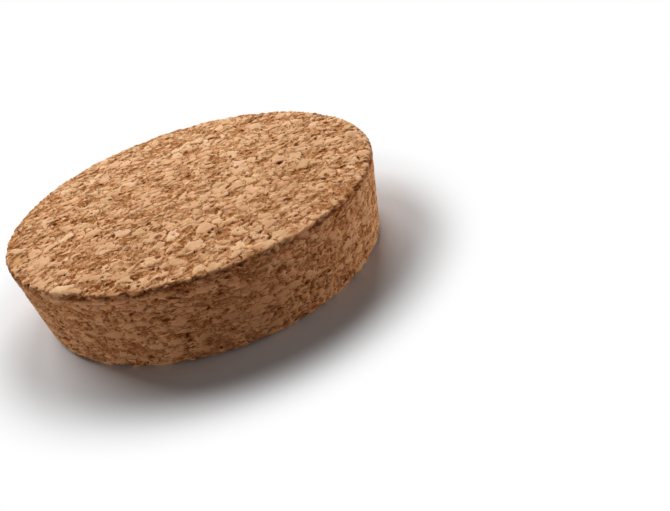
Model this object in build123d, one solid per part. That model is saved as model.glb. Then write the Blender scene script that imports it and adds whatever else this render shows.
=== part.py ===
from build123d import *
import math
import os
import random

# Round tapered stopper of pressed cork granules, which plugs the mouth of a storage jar.
# One solid: a disc cut from a pressed sheet and sanded to a taper, wide face up.
# The origin is the middle of the narrow face, which it rests on, and +Z points to the wide face.

# Body, in millimetres
wide_diameter = 88.0
narrow_diameter = 84.0
thickness = 20.0
wide_rim_bevel = 0.7
narrow_rim_bevel = 0.6

# Pits, where a granule has come out of a sanded face and left an angular hollow
pit_width = (1.3, 3.0)
pit_depth = (0.35, 0.8)
pit_side_slope = 28.0
pit_corner_count = (5, 7)
pit_flatness = (0.5, 0.9)
pits_on_wide_face = 46
pits_on_wall = 44
pits_on_narrow_face = 34
face_edge_margin = 3.2
wall_edge_margin = 3.4
clear_middle_radius = 5.0

# Nicks, where a granule has come off a rim
nick_width = (1.2, 2.6)
nick_depth = (0.35, 0.7)
nicks_on_wide_rim = 24
nicks_on_narrow_rim = 16
nick_sink_share = 0.7
rim_lean = 45.0

# Every cutting tool starts this far outside the surface that it cuts
tool_lift = 0.6
grain_seed = 27

# Worked out from the sizes above
wide_radius = wide_diameter / 2
narrow_radius = narrow_diameter / 2
wall_run = wide_radius - narrow_radius
wall_slope = math.atan2(wall_run, thickness)


def wall_radius(height):
    """Radius of the tapered wall at a height above the narrow face."""
    return narrow_radius + wall_run * height / thickness


def tapered_body():
    """The plain plug: half of its section turned about its axis, with both rims sanded off."""
    section = Polygon(
        (0, 0), (narrow_radius, 0), (wide_radius, thickness), (0, thickness), align=None
    )
    plug = revolve(Plane.XZ * section, Axis.Z)
    rims = plug.edges().filter_by(GeomType.CIRCLE).sort_by(Axis.Z)
    plug = chamfer(rims[-1], wide_rim_bevel)
    rims = plug.edges().filter_by(GeomType.CIRCLE).sort_by(Axis.Z)
    return chamfer(rims[0], narrow_rim_bevel)


def tapered_block(outline, top_scale, top_height, floor_scale, floor_height):
    """A flat-sided block between two scaled copies of one outline, at two heights."""
    top = [Vector(x * top_scale, y * top_scale, top_height) for x, y in outline]
    floor = [Vector(x * floor_scale, y * floor_scale, floor_height) for x, y in outline]
    faces = [Face(Wire.make_polygon(top)), Face(Wire.make_polygon(floor))]
    for here in range(len(outline)):
        after = (here + 1) % len(outline)
        faces.append(Face(Wire.make_polygon([top[here], top[after], floor[after], floor[here]])))
    return Solid(Shell(faces))


def granule_hollow(rng, width_range, depth_range):
    """An angular tool on the XY plane that narrows downwards, as the hollow of a lost granule does."""
    width = rng.uniform(*width_range)
    depth = rng.uniform(*depth_range)
    corners = rng.randint(*pit_corner_count)
    flatness = rng.uniform(*pit_flatness)
    turn = rng.uniform(0, 360)
    slope = math.tan(math.radians(pit_side_slope))
    mouth_radius = width / 2 + tool_lift * slope
    floor_radius = max(width / 2 - depth * slope, width / 6)
    outline = []
    for corner in range(corners):
        angle = 2 * math.pi * (corner + rng.uniform(-0.25, 0.25)) / corners
        reach = rng.uniform(0.8, 1.0)
        outline.append((reach * math.cos(angle), reach * flatness * math.sin(angle)))
    return Rot(0, 0, turn) * tapered_block(outline, mouth_radius, tool_lift, floor_radius, -depth)


def spread_angles(rng, count):
    """Angles in degrees spaced evenly round a circle, each moved a little at random."""
    step = 360 / count
    return [step * (place + rng.uniform(-0.35, 0.35)) for place in range(count)]


def face_pits(rng, count, face_radius, face_plane):
    """Pits over a flat face: a sunflower spiral, shaken, which leaves the middle clear."""
    golden_angle = 180 * (3 - math.sqrt(5))
    reach = face_radius - face_edge_margin
    tools = []
    for place in range(count):
        share = (place + rng.uniform(0.1, 0.9)) / count
        radius = math.sqrt(clear_middle_radius**2 + share * (reach**2 - clear_middle_radius**2))
        angle = golden_angle * place + rng.uniform(-9, 9)
        spot = Rot(0, 0, angle) * Pos(radius, 0, 0)
        tools.append(face_plane * spot * granule_hollow(rng, pit_width, pit_depth))
    return tools


def wall_pits(rng):
    """Pits over the tapered wall, each tool standing square to the wall."""
    tools = []
    for angle in spread_angles(rng, pits_on_wall):
        height = rng.uniform(wall_edge_margin, thickness - wall_edge_margin)
        seat = Rot(0, 0, angle) * Pos(wall_radius(height), 0, height)
        square_to_wall = Rot(0, 90 + math.degrees(wall_slope), 0)
        tools.append(seat * square_to_wall * granule_hollow(rng, pit_width, pit_depth))
    return tools


def rim_nicks(rng, count, rim_radius, rim_height, lean):
    """Nicks along a rim, each tool leaning out over the corner."""
    tools = []
    for angle in spread_angles(rng, count):
        seat = Rot(0, 0, angle) * Pos(rim_radius, 0, rim_height)
        sunk = Pos(0, 0, -tool_lift * nick_sink_share)
        tools.append(seat * Rot(0, lean, 0) * sunk * granule_hollow(rng, nick_width, nick_depth))
    return tools


def cork_stopper():
    """The plug with its pits and nicks cut out of it."""
    rng = random.Random(grain_seed)
    wide_face = Plane.XY.offset(thickness)
    narrow_face = Plane(origin=(0, 0, 0), x_dir=(1, 0, 0), z_dir=(0, 0, -1))
    tools = face_pits(rng, pits_on_wide_face, wide_radius, wide_face)
    tools += face_pits(rng, pits_on_narrow_face, narrow_radius, narrow_face)
    tools += wall_pits(rng)
    tools += rim_nicks(rng, nicks_on_wide_rim, wide_radius, thickness, rim_lean)
    tools += rim_nicks(rng, nicks_on_narrow_rim, narrow_radius, 0, 180 - rim_lean)
    return tapered_body() - tools


os.makedirs("parts", exist_ok=True)
stopper = cork_stopper()
export_step(stopper, "parts/cork_stopper.step")
print("solids", len(stopper.solids()), "faces", len(stopper.faces()))
print("volume in cubic centimetres", round(stopper.volume / 1000, 2))
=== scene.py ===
# %% [markdown]
# # A round stopper of pressed cork
#
# The real thing is a flat, slightly tapered plug for the mouth of a storage jar. Cork bark is ground
# to granules, the granules are pressed into a sheet with a little glue, a disc is cut out, and its
# faces and wall are sanded. What the eye sees is the granules: pale tan to light brown pieces of one
# to four millimetres, cut flat by the sanding, with warm brown gaps and crumbs between them.
#
# The lesson goes from form to light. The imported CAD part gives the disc. One pattern of nodes places
# the granules, and it is used twice, for real relief in the mesh and for the colour. A soft studio
# and a close camera then show the result.

import math

import bmesh
import bpy
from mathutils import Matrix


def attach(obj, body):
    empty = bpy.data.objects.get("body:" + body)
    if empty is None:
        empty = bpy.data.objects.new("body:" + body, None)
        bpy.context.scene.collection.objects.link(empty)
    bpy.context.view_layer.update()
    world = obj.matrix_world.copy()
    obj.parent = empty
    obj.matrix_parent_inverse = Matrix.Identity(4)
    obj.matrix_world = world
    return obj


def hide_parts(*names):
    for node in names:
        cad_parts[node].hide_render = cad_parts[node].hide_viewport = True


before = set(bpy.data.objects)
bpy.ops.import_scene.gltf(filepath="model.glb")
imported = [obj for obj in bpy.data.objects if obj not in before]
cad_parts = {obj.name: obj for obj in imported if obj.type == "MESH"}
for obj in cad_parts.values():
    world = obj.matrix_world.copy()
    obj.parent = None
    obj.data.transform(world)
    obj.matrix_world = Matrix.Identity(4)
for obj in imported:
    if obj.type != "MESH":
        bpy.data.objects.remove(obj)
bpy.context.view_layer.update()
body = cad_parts["cork_stopper"]

# %% [markdown]
# ## Small helpers
#
# Colours are written as sRGB hex values, as a paint chart gives them, and Blender's sockets want
# linear light, so one function turns the first into the second. Another adds a node with its
# settings and its links in a single call, which keeps a long node tree readable. The last two make
# a new object in the scene, and a new material with an empty tree.

# %% Colour, node and object helpers
MM = 0.001


def linear(hex_colour):
    """An sRGB hex colour as linear red, green, blue and alpha."""
    parts = [int(hex_colour[place:place + 2], 16) / 255 for place in (1, 3, 5)]
    light = [v / 12.92 if v <= 0.04045 else ((v + 0.055) / 1.055) ** 2.4 for v in parts]
    return light + [1.0]


def add(tree, kind, inputs=None, **settings):
    """Adds a node, makes its settings, and gives each input a value or a link."""
    node = tree.nodes.new(kind)
    for name, value in settings.items():
        setattr(node, name, value)
    for socket, value in (inputs or {}).items():
        if isinstance(value, bpy.types.NodeSocket):
            tree.links.new(value, node.inputs[socket])
        else:
            node.inputs[socket].default_value = value
    return node


def placed(name, data):
    """A new object with that data, linked to the scene."""
    thing = bpy.data.objects.new(name, data)
    bpy.context.scene.collection.objects.link(thing)
    return thing


def empty_material(name):
    """A new material, and its node tree with nothing in it yet."""
    material = bpy.data.materials.new(name)
    material.use_nodes = True
    material.node_tree.nodes.clear()
    return material, material.node_tree


print("sanded cork in linear light", [round(v, 3) for v in linear("#D9A479")])

# %% [markdown]
# ## The blank: the CAD disc with an even skin
#
# The disc, its taper, its worn rims and its larger pits are already in the CAD part. Its mesh has
# long thin triangles across the flat faces, and relief needs points everywhere. The disc could be
# modelled again, but then the pits would have to be found again too. So a copy is merged to one
# skin, and a voxel remesh lays squares of under half a millimetre all over it.

# %% Copy the disc and remesh it
voxel = 0.45 * MM
weld_reach = 0.002 * MM


def merged_copy(source, name):
    """A copy of a CAD node whose loose triangles are merged into one closed skin."""
    skin = bmesh.new()
    skin.from_mesh(source.data)
    bmesh.ops.remove_doubles(skin, verts=skin.verts, dist=weld_reach)
    mesh = bpy.data.meshes.new(name)
    skin.to_mesh(mesh)
    skin.free()
    return placed(name, mesh)


def bake_modifiers(piece):
    """Turns what the modifiers make into the piece's own mesh."""
    view = bpy.context.evaluated_depsgraph_get()
    made = bpy.data.meshes.new_from_object(piece.evaluated_get(view))
    piece.modifiers.clear()
    piece.data = made


stopper = merged_copy(body, "pressed_cork_stopper")
remesh = stopper.modifiers.new("even skin", "REMESH")
remesh.mode = "VOXEL"
remesh.voxel_size = voxel
bake_modifiers(stopper)
print("even skin:", len(stopper.data.vertices), "points")

# %% [markdown]
# ## The granules, as one pattern of nodes
#
# A Voronoi texture fills space with cells, each round its own random point, and that is how ground
# granules pack. Cells are 3D, so the pattern runs through the disc, and the faces and the wall cut
# it as a saw does. They are flattened along the axis, because the sheet was pressed that way: the
# wall shows long flat granules and the faces show round ones. A wide noise and a fine one bend the
# cell walls, because torn bark has no straight sides.

# %% Space in millimetres, pressed and bent
press = 2.0
bend_width = 3.6
bend_depth = 1.3
fray_width = 1.0
fray_depth = 0.44
middle_grey = (0.5, 0.5, 0.5)


def bent_place(tree, place):
    """A place in metres as millimetres, stretched along the axis, and the same bent by noise."""
    stretch = (1 / MM, 1 / MM, press / MM)
    pressed = add(tree, "ShaderNodeVectorMath", {0: place, 1: stretch}, operation="MULTIPLY").outputs[0]
    bent = pressed
    for width, depth in ((bend_width, bend_depth), (fray_width, fray_depth)):
        noise = add(tree, "ShaderNodeTexNoise",
                    {"Vector": pressed, "Scale": 1 / width, "Detail": 2.0, "Roughness": 0.55})
        shift = add(tree, "ShaderNodeVectorMath",
                    {0: noise.outputs["Color"], 1: middle_grey}, operation="SUBTRACT")
        bent = add(tree, "ShaderNodeVectorMath",
                   {0: shift.outputs[0], 1: (2 * depth,) * 3, 2: bent},
                   operation="MULTIPLY_ADD").outputs[0]
    return pressed, bent


print("pressed", press, "times flatter, bent by up to", round(bend_depth + fray_depth, 2), "mm")

# %% [markdown]
# Three sizes of cell are used: large granules, middle ones, and crumbs in what is left. Each cell
# draws three random numbers, which later say whether it holds a granule, how pale that is and how
# high it stands. Each granule also leans a little its own way, because it was torn and not cut. The
# way to the cell's edge shapes its rounded sides.

# %% Cells of one size
large_granule = 3.3
middle_granule = 1.9
crumb = 1.05


def cell_layer(tree, place, size):
    """Cells of one size in millimetres: three random numbers, the way to the edge, and the lean."""
    space = {"Vector": place, "Scale": 1 / size}
    cells = add(tree, "ShaderNodeTexVoronoi", space, feature="F1")
    edges = add(tree, "ShaderNodeTexVoronoi", space, feature="DISTANCE_TO_EDGE")
    chance = add(tree, "ShaderNodeSeparateXYZ", {0: cells.outputs["Color"]})
    edge = add(tree, "ShaderNodeMath", {0: edges.outputs["Distance"], 1: size}, operation="MULTIPLY")
    aside = add(tree, "ShaderNodeVectorMath",
                {0: place, 1: cells.outputs["Position"]}, operation="SUBTRACT")
    lean = add(tree, "ShaderNodeVectorMath",
               {0: cells.outputs["Color"], 1: middle_grey}, operation="SUBTRACT")
    tilt = add(tree, "ShaderNodeVectorMath",
               {0: aside.outputs[0], 1: lean.outputs[0]}, operation="DOT_PRODUCT")
    return {
        "present": chance.outputs[0],
        "tone": chance.outputs[1],
        "level": chance.outputs[2],
        "edge": edge.outputs[0],
        "tilt": tilt.outputs["Value"],
    }


print("granules of", large_granule, "and", middle_granule, "mm, crumbs of", crumb, "mm")

# %% [markdown]
# Only part of the cells hold a whole granule. Where there is none, or between a granule's edge and
# its cell's edge, the next smaller size shows. When the press is filled, granules crowd in some
# places and leave nests of crumbs in others, so a slow noise raises or lowers the chance over a few
# millimetres. A finer noise chips the edges. A noise seldom leaves the range from about 0.35 to 0.65,
# so a Map Range node spreads that range over the values that are wanted.

# %% Where granules crowd, and how their edges are chipped
nest_scale = 0.22  # waves in a millimetre, so one in about 4.5 mm
crowd_reach = 0.26
chip_scale = 1.3  # one in about 0.8 mm
chip_least = -0.15
chip_most = 0.30


def crowding(tree, pressed):
    """Where granules crowd, above 0, and where crumbs nest, below 0."""
    nests = add(tree, "ShaderNodeTexNoise", {"Vector": pressed, "Scale": nest_scale, "Detail": 2.0})
    return add(tree, "ShaderNodeMapRange",
               {"Value": nests.outputs[0], "From Min": 0.36, "From Max": 0.64,
                "To Min": -crowd_reach, "To Max": crowd_reach}).outputs[0]


def chipping(tree, pressed):
    """How far the edges of granules are chipped back, in millimetres."""
    chips = add(tree, "ShaderNodeTexNoise", {"Vector": pressed, "Scale": chip_scale, "Detail": 3.0})
    return add(tree, "ShaderNodeMapRange",
               {"Value": chips.outputs[0], "From Min": 0.35, "From Max": 0.7,
                "To Min": chip_least, "To Max": chip_most}).outputs[0]


print("edges chipped back by up to", chip_most, "mm")

# %% [markdown]
# Each size then gets three masks: where its granules show in colour, the same with a softer edge for
# their height, and a band round them. Along the side that stands high, that band becomes a gap, a groove
# in the relief that the colour darkens as painted shadow of the high edge, and that is what makes a
# granule read as one separate piece. On its low side it meets its neighbour closely.

# %% Whole granules and the bands round them
large_share = 0.30
middle_share = 0.60
large_margin = 0.20
middle_margin = 0.12
gap_width = 0.90
colour_blur = (-0.05, 0.07)  # how far an edge blurs outwards and inwards, in millimetres
height_blur = (-0.22, 0.20)
low_side = -0.02  # the lean at which the gap is closest, as a share of the granule's size
high_side = 0.14
closest_gap = 0.05


def whole_granules(tree, layer, size, share, margin, crowd, chipped):
    """Where a layer's granules are in colour and in height, and the band along their high side."""
    chance = add(tree, "ShaderNodeMath", {0: layer["present"], 1: crowd}, operation="ADD").outputs[0]
    there = add(tree, "ShaderNodeMath", {0: chance, 1: 1 - share}, operation="GREATER_THAN").outputs[0]
    inside = add(tree, "ShaderNodeMath", {0: layer["edge"], 1: chipped}, operation="SUBTRACT").outputs[0]
    mask, step, outer = [
        add(tree, "ShaderNodeMapRange",
            {"Value": inside, "From Min": margin + start, "From Max": margin + end},
            interpolation_type="SMOOTHSTEP").outputs[0]
        for start, end in (colour_blur, height_blur, (-gap_width, colour_blur[0]))
    ]
    band = add(tree, "ShaderNodeMath", {0: outer, 1: mask}, operation="SUBTRACT").outputs[0]
    # The band is kept along the granule's high side, where its gap is painted dark as shadow.
    high = add(tree, "ShaderNodeMapRange",
               {"Value": layer["tilt"], "From Min": low_side * size, "From Max": high_side * size,
                "To Min": closest_gap, "To Max": 1.0}).outputs[0]
    band = add(tree, "ShaderNodeMath", {0: band, 1: high}, operation="MULTIPLY").outputs[0]
    return [
        add(tree, "ShaderNodeMath", {0: part, 1: there}, operation="MULTIPLY").outputs[0]
        for part in (mask, step, band)
    ]


def laid_over(tree, masks, values, data_type="FLOAT"):
    """The value of the crumbs, with the middle and then the large granules' laid over it."""
    below, above, result = (6, 7, 2) if data_type == "RGBA" else (2, 3, 0)
    shown = values[0]
    for mask, value in zip(masks, values[1:]):
        laid = add(tree, "ShaderNodeMix", {0: mask, below: shown, above: value}, data_type=data_type)
        shown = laid.outputs[result]
    return shown


print("share of cells with a whole granule:", large_share, middle_share)

# %% [markdown]
# The gaps are open in some places and filled with dust and glue in others, as on the real thing,
# and another noise says where. Sanding also pulls crumbs out. That leaves round pits, most of them
# in the nests of crumbs, and the bark itself has pores, which hardly show in a large granule.

# %% Gaps, pits and pores
crumb_gap = 0.45
opening_scale = 0.9  # one in about 1.1 mm
pit_width = 1.8
pit_chance = 0.30
pit_crowding = 0.5
pore_width = 1.1
pore_shares = (1.0, 0.5, 0.1)  # in crumbs, middle and large granules


def gaps_between(tree, pressed, crumbs, masks, bands):
    """The gaps between granules, from 0 where there is none to 1 where one is wide open."""
    gap = add(tree, "ShaderNodeMapRange",
              {"Value": crumbs["edge"], "From Min": 0.02, "From Max": 0.16,
               "To Min": crumb_gap, "To Max": 0.0}, interpolation_type="SMOOTHSTEP").outputs[0]
    for mask, band in zip(masks, bands):
        gap = add(tree, "ShaderNodeMix", {0: mask, 2: gap, 3: 0.0}).outputs[0]
        gap = add(tree, "ShaderNodeMath", {0: gap, 1: band}, operation="MAXIMUM").outputs[0]
    noise = add(tree, "ShaderNodeTexNoise", {"Vector": pressed, "Scale": opening_scale, "Detail": 2.0})
    opened = add(tree, "ShaderNodeMapRange",
                 {"Value": noise.outputs[0], "From Min": 0.36, "From Max": 0.52}).outputs[0]
    return add(tree, "ShaderNodeMath", {0: gap, 1: opened}, operation="MULTIPLY").outputs[0]


def pits_and_pores(tree, bent, crowd, masks):
    """Pits that lost crumbs have left, and pores of the bark, from 0 to 1."""
    cells = add(tree, "ShaderNodeTexVoronoi", {"Vector": bent, "Scale": 1 / pit_width}, feature="F1")
    chance = add(tree, "ShaderNodeSeparateXYZ", {0: cells.outputs["Color"]}).outputs[0]
    away = cells.outputs["Distance"]
    for part, share in ((chance, pit_chance), (crowd, pit_crowding)):
        away = add(tree, "ShaderNodeMath",
                   {0: part, 1: share, 2: away}, operation="MULTIPLY_ADD").outputs[0]
    pit = add(tree, "ShaderNodeMapRange",
              {"Value": away, "From Min": 0.16, "From Max": 0.34, "To Min": 1.0, "To Max": 0.0},
              interpolation_type="SMOOTHSTEP").outputs[0]
    noise = add(tree, "ShaderNodeTexNoise",
                {"Vector": bent, "Scale": 1 / pore_width, "Detail": 2.0, "Roughness": 0.6})
    pore = add(tree, "ShaderNodeMapRange",
               {"Value": noise.outputs[0], "From Min": 0.60, "From Max": 0.70},
               interpolation_type="SMOOTHSTEP").outputs[0]
    pore = add(tree, "ShaderNodeMath",
               {0: pore, 1: laid_over(tree, masks, pore_shares)}, operation="MULTIPLY").outputs[0]
    return add(tree, "ShaderNodeMath", {0: pit, 1: pore}, operation="MAXIMUM").outputs[0]


print("pits in cells of", pit_width, "mm, pores in waves of", pore_width, "mm")

# %% [markdown]
# Then comes the height of every point in millimetres. Each granule has its own level, its lean and
# a rounded side. Large granules stand highest and most level, because the sanding cuts them flat,
# and crumbs lie lowest and most unevenly.

# %% The height of a granule
# Highest level, drop to the lowest, lean in a millimetre, height of the dome and width of its side
crumb_shape = (-0.30, 0.30, 0.40, 0.28, 0.52)
middle_shape = (-0.21, 0.20, 0.34, 0.24, 0.52)
large_shape = (-0.15, 0.10, 0.18, 0.20, 0.60)


def granule_height(tree, layer, top, drop, slope, dome, side):
    """Height of a layer's granules: the level of each, its lean and its dome."""
    level = add(tree, "ShaderNodeMath",
                {0: layer["level"], 1: -drop, 2: top}, operation="MULTIPLY_ADD").outputs[0]
    leaning = add(tree, "ShaderNodeMath",
                  {0: layer["tilt"], 1: slope, 2: level}, operation="MULTIPLY_ADD").outputs[0]
    rounded = add(tree, "ShaderNodeMapRange",
                  {"Value": layer["edge"], "From Min": 0.0, "From Max": side,
                   "To Min": 0.0, "To Max": dome}, interpolation_type="SMOOTHSTEP").outputs[0]
    return add(tree, "ShaderNodeMath", {0: rounded, 1: leaning}, operation="ADD").outputs[0]


print("crumbs from", crumb_shape[0], "mm down to", crumb_shape[0] - crumb_shape[1], "mm")

# %% [markdown]
# The last function puts the pattern together. Rough crumble lies over the heights, least on the
# large granules, crowded places stand a little higher, and gaps and pits go down. It returns what
# the relief and the colour both need, so the two always agree.

# %% The whole pattern
crumble_scale = 0.85  # one in about 1.2 mm
crumble_depths = (0.6, 0.45, 0.25)  # on crumbs, middle and large granules
gap_depth = 0.22
crowd_rise = 0.45
pit_depth = 0.32


def granule_pattern(tree, place):
    """The pattern at a place in metres: its layers and masks, the relief in mm, gaps and pits."""
    pressed, bent = bent_place(tree, place)
    crowd = crowding(tree, pressed)
    chipped = chipping(tree, pressed)
    crumbs = cell_layer(tree, bent, crumb)
    middle = cell_layer(tree, bent, middle_granule)
    large = cell_layer(tree, bent, large_granule)
    masks, steps, bands = zip(
        whole_granules(tree, middle, middle_granule, middle_share, middle_margin, crowd, chipped),
        whole_granules(tree, large, large_granule, large_share, large_margin, crowd, chipped),
    )
    gap = gaps_between(tree, pressed, crumbs, masks, bands)
    pit = pits_and_pores(tree, bent, crowd, masks)
    relief = laid_over(tree, steps, (
        granule_height(tree, crumbs, *crumb_shape),
        granule_height(tree, middle, *middle_shape),
        granule_height(tree, large, *large_shape),
    ))
    noise = add(tree, "ShaderNodeTexNoise",
                {"Vector": pressed, "Scale": crumble_scale, "Detail": 2.0, "Roughness": 0.5})
    crumble = add(tree, "ShaderNodeMath", {0: noise.outputs[0], 1: 0.5}, operation="SUBTRACT").outputs[0]
    for part, amount in (
        (crumble, laid_over(tree, masks, crumble_depths)),
        (gap, -gap_depth),
        (crowd, crowd_rise),
        (pit, -pit_depth),
    ):
        relief = add(tree, "ShaderNodeMath",
                     {0: part, 1: amount, 2: relief}, operation="MULTIPLY_ADD").outputs[0]
    return {
        "pressed": pressed, "bent": bent, "layers": (crumbs, middle, large), "masks": masks,
        "relief": relief, "gap": gap, "pit": pit,
    }


print("gaps go down", gap_depth, "mm and pits", pit_depth, "mm")

# %% [markdown]
# ## Relief in the mesh
#
# A Geometry Nodes modifier reads the pattern at every point and pushes the point inwards along its
# normal, never outwards, so the stopper keeps its size. What stands above the sanding belt's level
# is cut off flat, with a soft edge. Along both rims crumbs have broken away, which is why the rim of
# pressed cork is never a clean line, and there the push is deeper. The modifier is then baked, so
# that the piece is a plain mesh.

# %% Where the rims have crumbled
rims = ((44.0, 20.0), (42.0, 0.0))  # radius and height of the wide rim and of the narrow rim, in mm
rim_wear_start = 0.2
rim_wear_width = 0.8
rim_wear_depth = 0.14


def axis_place(tree, place):
    """How far a place is from the stopper's axis and how high it is, both in metres."""
    parts = add(tree, "ShaderNodeSeparateXYZ", {0: place}).outputs
    flat = add(tree, "ShaderNodeCombineXYZ", {0: parts[0], 1: parts[1]}).outputs[0]
    across = add(tree, "ShaderNodeVectorMath", {0: flat}, operation="LENGTH").outputs["Value"]
    return across, parts[2]


def rim_wear(tree, place, crumbs):
    """How deep the rims have crumbled at a place, in millimetres."""
    across, height = axis_place(tree, place)
    near = []
    for rim_radius, rim_height in rims:
        out, up = [
            add(tree, "ShaderNodeMath",
                {0: way, 1: 1 / MM, 2: -rim}, operation="MULTIPLY_ADD").outputs[0]
            for way, rim in ((across, rim_radius), (height, rim_height))
        ]
        aside = add(tree, "ShaderNodeCombineXYZ", {0: out, 1: up}).outputs[0]
        away = add(tree, "ShaderNodeVectorMath", {0: aside}, operation="LENGTH").outputs["Value"]
        near.append(add(tree, "ShaderNodeMapRange",
                        {"Value": away, "From Min": rim_wear_start, "From Max": rim_wear_width,
                         "To Min": 1.0, "To Max": 0.0}, interpolation_type="SMOOTHSTEP").outputs[0])
    worn = add(tree, "ShaderNodeMath", {0: near[0], 1: near[1]}, operation="MAXIMUM").outputs[0]
    worn = add(tree, "ShaderNodeMath", {0: crumbs["level"], 1: worn}, operation="MULTIPLY").outputs[0]
    return add(tree, "ShaderNodeMath", {0: worn, 1: rim_wear_depth}, operation="MULTIPLY").outputs[0]


print("rims worn by up to", rim_wear_depth, "mm")

# %% Push the skin in
sanded_off = 0.11
sanding_blend = 0.12
relief_share = 0.78


def relief_tree():
    """Geometry nodes that push each point inwards by the granule pattern."""
    tree = bpy.data.node_groups.new("granule relief", "GeometryNodeTree")
    for direction in ("INPUT", "OUTPUT"):
        tree.interface.new_socket("Geometry", in_out=direction, socket_type="NodeSocketGeometry")
    start = add(tree, "NodeGroupInput")
    place = add(tree, "GeometryNodeInputPosition").outputs[0]
    normal = add(tree, "GeometryNodeInputNormal").outputs[0]
    pattern = granule_pattern(tree, place)
    worn = rim_wear(tree, place, pattern["layers"][0])
    lifted = add(tree, "ShaderNodeMath",
                 {0: pattern["relief"], 1: sanded_off}, operation="ADD").outputs[0]
    sanded = add(tree, "ShaderNodeMath",
                 {0: lifted, 1: 0.0, 2: sanding_blend}, operation="SMOOTH_MIN").outputs[0]
    sanded = add(tree, "ShaderNodeMath", {0: sanded, 1: relief_share}, operation="MULTIPLY").outputs[0]
    depth = add(tree, "ShaderNodeMath", {0: sanded, 1: worn}, operation="SUBTRACT").outputs[0]
    metres = add(tree, "ShaderNodeMath", {0: depth, 1: MM}, operation="MULTIPLY").outputs[0]
    push = add(tree, "ShaderNodeVectorMath", {0: normal, "Scale": metres}, operation="SCALE").outputs[0]
    moved = add(tree, "GeometryNodeSetPosition", {"Geometry": start.outputs[0], "Offset": push})
    add(tree, "NodeGroupOutput", {0: moved.outputs[0]})
    return tree


stopper.modifiers.new("granule relief", "NODES").node_group = relief_tree()
bake_modifiers(stopper)
stopper.data.shade_smooth()
print("relief:", len(stopper.data.vertices), "points,", len(stopper.data.polygons), "faces")

# %% [markdown]
# ## Sanded pressed cork
#
# The material is pressed cork, ground, glued and sanded. Each granule has one tone of its own, from
# light brown to cream, because it comes from one spot of the bark, and inside it there is only faint
# mottling. Large granules are the paler ones. The tones run through two colour ramps, one for the
# granules and a slightly darker one for the crumbs.

# %% The tones of the granules
granule_tones = ("#CD966B", "#D6A075", "#DDA87D", "#E2AE83", "#E9B58B", "#F3C197")
granule_stops = (0.0, 0.12, 0.35, 0.6, 0.85, 1.0)
crumb_tones = ("#C18B5C", "#D09A6D", "#DBA67A", "#E7B488")
crumb_stops = (0.0, 0.35, 0.75, 1.0)
large_least = 0.3
pink_cast = "#FFFBFA"
olive_cast = "#FDFFF9"


def tone_ramp(tree, factor, hex_colours, places):
    """A colour ramp through the given colours."""
    ramp = add(tree, "ShaderNodeValToRGB", {0: factor})
    stops = ramp.color_ramp.elements
    stops[0].color = linear(hex_colours[0])
    stops[1].color = linear(hex_colours[-1])
    for place, colour in zip(places[1:-1], hex_colours[1:-1]):
        stops.new(place).color = linear(colour)
    return ramp.outputs["Color"]


def granule_colour(tree, pattern):
    """The tone of the granule at each place, and its faint cast from pink to olive."""
    crumbs, middle, large = pattern["layers"]
    paler = add(tree, "ShaderNodeMath",
                {0: large["tone"], 1: 1 - large_least, 2: large_least},
                operation="MULTIPLY_ADD").outputs[0]
    tones = (
        tone_ramp(tree, crumbs["tone"], crumb_tones, crumb_stops),
        tone_ramp(tree, middle["tone"], granule_tones, granule_stops),
        tone_ramp(tree, paler, granule_tones, granule_stops),
    )
    hue = laid_over(tree, pattern["masks"], (crumbs["present"], middle["level"], large["level"]))
    cast = add(tree, "ShaderNodeMix",
               {0: hue, 6: linear(pink_cast), 7: linear(olive_cast)}, data_type="RGBA").outputs[2]
    return laid_over(tree, pattern["masks"], tones, "RGBA"), cast


print(len(granule_tones), "granule tones and", len(crumb_tones), "crumb tones")

# %% [markdown]
# The wall is sanded with its granules on edge. It shows them flatter and more alike, and its slightly
# redder brown is painted warm shade. Just under its upper rim runs a darker band, which is painted
# shadow under the overhanging rim. So the material needs to know where the wall is, and that comes from
# the place alone.

# %% Where the wall is, and the painted shadow under its upper rim
wall_taper = 0.1
wall_skin = (40.8 * MM, 41.2 * MM)
wall_top = (19.8 * MM, 19.2 * MM)
wall_bottom = (0.2 * MM, 0.8 * MM)
# Painted shadow under the overhanging upper rim: the heights of its band and the noise that breaks it
# up.
under_rim_shade_band = (17.7 * MM, 19.1 * MM)
under_rim_shade_scale = 0.55  # one in about 1.8 mm


def wall_mask(tree, across, height):
    """1 on the tapered wall, and 0 on the two faces."""
    level = add(tree, "ShaderNodeMath",
                {0: height, 1: -wall_taper, 2: across}, operation="MULTIPLY_ADD").outputs[0]
    outside, below, above = [
        add(tree, "ShaderNodeMapRange", {"Value": value, "From Min": start, "From Max": end}).outputs[0]
        for value, (start, end) in ((level, wall_skin), (height, wall_top), (height, wall_bottom))
    ]
    between = add(tree, "ShaderNodeMath", {0: below, 1: above}, operation="MULTIPLY").outputs[0]
    return add(tree, "ShaderNodeMath", {0: outside, 1: between}, operation="MULTIPLY").outputs[0]


def under_rim_shade_mask(tree, height, bent, on_wall):
    """1 in the painted shadow band below the wall's upper rim, broken up by noise."""
    band = add(tree, "ShaderNodeMapRange",
               {"Value": height, "From Min": under_rim_shade_band[0], "From Max": under_rim_shade_band[1]},
               interpolation_type="SMOOTHSTEP").outputs[0]
    noise = add(tree, "ShaderNodeTexNoise", {"Vector": bent, "Scale": under_rim_shade_scale, "Detail": 2.0})
    broken = add(tree, "ShaderNodeMapRange",
                 {"Value": noise.outputs[0], "From Min": 0.42, "From Max": 0.60,
                  "To Min": 0.05, "To Max": 1.0}).outputs[0]
    for part in (broken, on_wall):
        band = add(tree, "ShaderNodeMath", {0: band, 1: part}, operation="MULTIPLY").outputs[0]
    return band


print("torn band from", round(under_rim_shade_band[0] / MM, 1), "to", round(under_rim_shade_band[1] / MM, 1), "mm up the wall")
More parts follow.
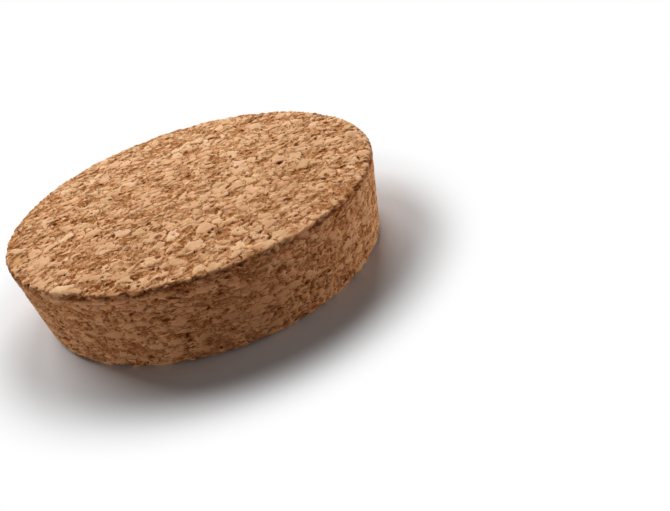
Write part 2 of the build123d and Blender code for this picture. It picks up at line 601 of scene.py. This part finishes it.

# %% [markdown]
# The whole colour is built up as a painter would, one thin layer over the other: the granules' own
# tones, faint mottling inside them, a slow drift over the whole disc, then the gaps and pits in a dark
# warm brown, partly glue, dust and bark and partly painted shade where little light gets in, then
# painted warm shade over the low places of the relief, and last the wall's painted shade.

# %% Colour, layer by layer
mean_tone = "#D9A479"
# Dark warm brown of the pits and gaps: partly glue, dust and bark, partly painted shade.
gap_brown_and_shade = "#5E2A0A"
# Painted shade: the tint that darkens and warms the low places of the relief, where little light
# reaches.
hollow_shade_tint = "#CBB094"
# Painted warm shade, laid over the whole wall.
wall_warm_shade = "#FFEFE4"
# Painted shadow under the upper rim.
under_rim_shade_tint = "#97765A"
mottle_scale = 1.1  # drawn about 1 mm wide, because cork's own cells of 0.03 mm are too fine to show
drift_scale = 0.16  # one in about 6 mm
# Painted shade starts below this relief level and is full at the next.
hollow_shade_start = -0.20  # relief in millimetres below which the cork darkens
hollow_shade_end = -0.70


def cork_colour(tree, pattern, height, on_wall, even_share, pit_share, gap_share):
    """The granules' colours with mottling and slow drift, brown pits and gaps that are partly painted
    shade, and painted shade low in the relief and on the wall.
    """
    colour, cast = granule_colour(tree, pattern)
    mottle = add(tree, "ShaderNodeTexNoise",
                 {"Vector": pattern["bent"], "Scale": mottle_scale, "Detail": 3.0, "Roughness": 0.6})
    mottle = add(tree, "ShaderNodeMapRange",
                 {"Value": mottle.outputs[0], "From Min": 0.3, "From Max": 0.7,
                  "To Min": 0.90, "To Max": 1.10}).outputs[0]
    drift = add(tree, "ShaderNodeTexNoise",
                {"Vector": pattern["pressed"], "Scale": drift_scale, "Detail": 2.0})
    drift = add(tree, "ShaderNodeMapRange",
                {"Value": drift.outputs[0], "From Min": 0.35, "From Max": 0.65,
                 "To Min": 0.93, "To Max": 1.06}).outputs[0]
    pit, gap = [
        add(tree, "ShaderNodeMath", {0: pattern[name], 1: share}, operation="MULTIPLY").outputs[0]
        for name, share in (("pit", pit_share), ("gap", gap_share))
    ]
    # Painted shade in the low places of the relief, from 0 to 1.
    deep = add(tree, "ShaderNodeMapRange",
               {"Value": pattern["relief"], "From Min": hollow_shade_start, "From Max": hollow_shade_end}).outputs[0]
    # Painted shadow in a band under the upper rim.
    under_rim_shade = under_rim_shade_mask(tree, height, pattern["bent"], on_wall)
    for share, shade, blend in (
        (1.0, cast, "MULTIPLY"),
        (1.0, mottle, "MULTIPLY"),
        (1.0, drift, "MULTIPLY"),
        (even_share, linear(mean_tone), "MIX"),
        # Pits and gaps take that brown: partly glue, dust and the bark's own pores, partly painted
        # shade.
        (pit, linear(gap_brown_and_shade), "MIX"),
        (gap, linear(gap_brown_and_shade), "MIX"),
        # Painted warm shade in the low places of the relief.
        (deep, linear(hollow_shade_tint), "MULTIPLY"),
        # Painted warm shade over the whole wall.
        (on_wall, linear(wall_warm_shade), "MULTIPLY"),
        # Painted shadow under the upper rim.
        (under_rim_shade, linear(under_rim_shade_tint), "MULTIPLY"),
    ):
        colour = add(tree, "ShaderNodeMix", {0: share, 6: colour, 7: shade},
                     data_type="RGBA", blend_type=blend).outputs[2]
    return colour


print("gap colour in linear light", [round(v, 3) for v in linear(gap_brown_and_shade)])

# %% [markdown]
# Sanded cork is matt. Light goes a short way into it and comes out warmer, so it gets subsurface
# scattering over a third of a millimetre, and no specular reflection, which would turn the gaps
# grey. Almost all of the relief is in the mesh. Only a little bump is left, for what is finer than
# the skin's squares.

# %% The surface
# Each share on the faces, and on the wall
evening = (0.0, 0.32)
# Shares of that brown and painted shade in pits and gaps, lower on the wall, where the light is even.
pit_darkness = (0.70, 0.60)
gap_darkness = (0.74, 0.45)
bump_strength = (0.12, 0.28)
cork_roughness = 0.72
gap_roughness = 0.95
cork_ior = 1.45
scatter_reach = 0.35 * MM
scatter_radius = (1.0, 0.7, 0.45)


def pressed_cork():
    """Sanded pressed cork: the same granules as the relief, in their colours."""
    material, tree = empty_material("pressed_cork_sanded")
    place = add(tree, "ShaderNodeTexCoord").outputs["Object"]
    pattern = granule_pattern(tree, place)
    across, height = axis_place(tree, place)
    on_wall = wall_mask(tree, across, height)
    even_share, pit_share, gap_share, bump_share = [
        add(tree, "ShaderNodeMix", {0: on_wall, 2: face_share, 3: wall_share}).outputs[0]
        for face_share, wall_share in (evening, pit_darkness, gap_darkness, bump_strength)
    ]
    colour = cork_colour(tree, pattern, height, on_wall, even_share, pit_share, gap_share)
    rough = add(tree, "ShaderNodeMix", {0: pattern["gap"], 2: cork_roughness, 3: gap_roughness})
    bump = add(tree, "ShaderNodeBump",
               {"Height": pattern["relief"], "Strength": bump_share, "Distance": MM})
    surface = add(tree, "ShaderNodeBsdfPrincipled", {
        "Base Color": colour, "Roughness": rough.outputs[0], "Normal": bump.outputs[0],
        "IOR": cork_ior, "Specular IOR Level": 0.0, "Subsurface Weight": 1.0,
        "Subsurface Scale": scatter_reach, "Subsurface Radius": scatter_radius,
    })
    add(tree, "ShaderNodeOutputMaterial", {"Surface": surface.outputs[0]})
    return material


stopper.data.materials.clear()
stopper.data.materials.append(pressed_cork())
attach(stopper, "root")
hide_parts("cork_stopper")
print("material:", stopper.data.materials[0].name)

# %% [markdown]
# ## The studio
#
# The stopper lies on a pale floor that runs out to plain white. Close by, the floor is a real
# surface that takes the shadow, and further out it fades to a white of strength 1 that only the
# camera sees, so the white never adds light to the cork. What the floor throws back at the cork is
# set darker than what the camera sees, because little light comes up from below.

# %% The floor
floor_reach = 3.0
floor_sides = 64
shadow_start = 0.049
shadow_reach = 0.067
floor_colour = "#EAEBEC"
floor_bounce = "#B4B4B4"
white = (1, 1, 1, 1)


def camera_sees(tree):
    """1 for what the camera sees directly, in gloss or through glass, and 0 for other light."""
    path = add(tree, "ShaderNodeLightPath").outputs
    seen = path["Is Camera Ray"]
    for ray in ("Is Glossy Ray", "Is Transmission Ray"):
        seen = add(tree, "ShaderNodeMath", {0: seen, 1: path[ray]}, operation="MAXIMUM").outputs[0]
    return seen


def pale_floor():
    """Matt floor that takes the shadow near the stopper and fades to plain white."""
    material, tree = empty_material("pale_floor")
    seen = camera_sees(tree)
    place = add(tree, "ShaderNodeTexCoord").outputs["Object"]
    away = add(tree, "ShaderNodeVectorMath", {0: place}, operation="LENGTH").outputs["Value"]
    far = add(tree, "ShaderNodeMapRange",
              {"Value": away, "From Min": shadow_start, "From Max": shadow_reach},
              interpolation_type="SMOOTHSTEP").outputs[0]
    colour = add(tree, "ShaderNodeMix",
                 {0: seen, 6: linear(floor_bounce), 7: linear(floor_colour)}, data_type="RGBA")
    matt = add(tree, "ShaderNodeBsdfDiffuse", {"Color": colour.outputs[2]})
    plain = add(tree, "ShaderNodeEmission", {"Color": white, "Strength": 1.0})
    far_seen = add(tree, "ShaderNodeMath", {0: far, 1: seen}, operation="MULTIPLY").outputs[0]
    surface = add(tree, "ShaderNodeMixShader", {0: far_seen, 1: matt.outputs[0], 2: plain.outputs[0]})
    add(tree, "ShaderNodeOutputMaterial", {"Surface": surface.outputs[0]})
    return material


sheet = bmesh.new()
bmesh.ops.create_circle(sheet, cap_ends=True, segments=floor_sides, radius=floor_reach)
floor_mesh = bpy.data.meshes.new("studio_floor")
sheet.to_mesh(floor_mesh)
sheet.free()
floor_mesh.materials.append(pale_floor())
placed("studio_floor", floor_mesh)
print("floor fades to white by", shadow_reach, "m")

# %% [markdown]
# The room round it is plain white to the camera. To the cork it is only a weak fill light, so that
# the lamps alone shape the granules.

# %% The white room
fill_level = 0.050
world = bpy.data.worlds.new("white room")
bpy.context.scene.world = world
world.use_nodes = True
room_tree = world.node_tree
room_tree.nodes.clear()
plain = add(room_tree, "ShaderNodeBackground", {"Color": white, "Strength": 1.0})
fill = add(room_tree, "ShaderNodeBackground", {"Color": white, "Strength": fill_level})
room = add(room_tree, "ShaderNodeMixShader",
           {0: camera_sees(room_tree), 1: fill.outputs[0], 2: plain.outputs[0]})
add(room_tree, "ShaderNodeOutputWorld", {"Surface": room.outputs[0]})
print("fill light at a level of", fill_level)

# %% [markdown]
# Two large lamps stand high and behind, so that the top is bright, the wall in front is dim, and
# the granules throw small shadows towards the camera. Three low, weak lamps at the sides and in
# front keep the wall from going black.
#
# Each lamp's power is worked out from the level it should give. An area lamp of power P at a
# distance d gives a white card that faces it a brightness of P / (pi * pi * d * d), so a level of 1
# shows the card's own colour. The lamps together with the room come to about 1 on the top face, so
# a colour renders there about as it is written.

# %% Lamps
aim = (0.0, 0.0, 0.01)
high_size = 0.28
low_size = 0.06


def softbox(name, place, width, height, level):
    """An area lamp that points at the stopper and gives a card that faces it that level of light."""
    lamp = bpy.data.lights.new(name, "AREA")
    lamp.shape = "RECTANGLE"
    lamp.size = width
    lamp.size_y = height
    right, forward, up = [there - here for there, here in zip(aim, place)]
    distance = math.hypot(right, forward, up)
    lamp.energy = level * (math.pi * distance) ** 2
    box = placed(name, lamp)
    box.location = place
    box.rotation_euler = (math.atan2(math.hypot(right, forward), -up), 0, math.atan2(-right, forward))
    return round(lamp.energy, 2)


for name, place, width, height, level in (
    ("high_back_lamp", (-0.25, 0.42, 0.47), 0.34, high_size, 0.73),
    ("high_right_lamp", (0.13, 0.43, 0.47), 0.30, high_size, 0.59),
    ("left_lamp", (-0.50, -0.06, 0.035), 0.30, low_size, 0.21),
    ("right_lamp", (0.50, 0.00, 0.045), 0.30, low_size, 0.36),
    ("front_lamp", (0.12, -0.48, 0.035), 0.30, low_size, 0.10),
):
    power = softbox(name, place, width, height, level)
    print(name, power, "watts")

# %% [markdown]
# ## The camera
#
# Both rims of the stopper were fitted in the photograph, which gives the camera's place and lens.
# It is a close view from 17 centimetres with a normal lens, and it is turned about its line of
# sight by 15 degrees, which is why the stopper leans in the picture while it lies flat on the floor.

# %% Camera
camera_turns = (58.38, 12.574, -18.215)  # in degrees
camera = placed("camera", bpy.data.cameras.new("camera"))
camera.data.sensor_width = 36.0
camera.data.lens = 37.6
camera.data.clip_start = 0.01
camera.location = (0.0, -0.15804, 0.08345)
camera.rotation_euler = [math.radians(turn) for turn in camera_turns]
bpy.context.scene.camera = camera
bpy.context.scene.view_settings.view_transform = "Standard"
print("camera at", [round(v, 3) for v in camera.location])

# %% [markdown]
# ## Sizes
#
# The dressed part keeps the size of the imported one, because the relief only pushes inwards.
# Last the scene is brought up to date.

# %% Bring the scene up to date
bpy.context.view_layer.update()
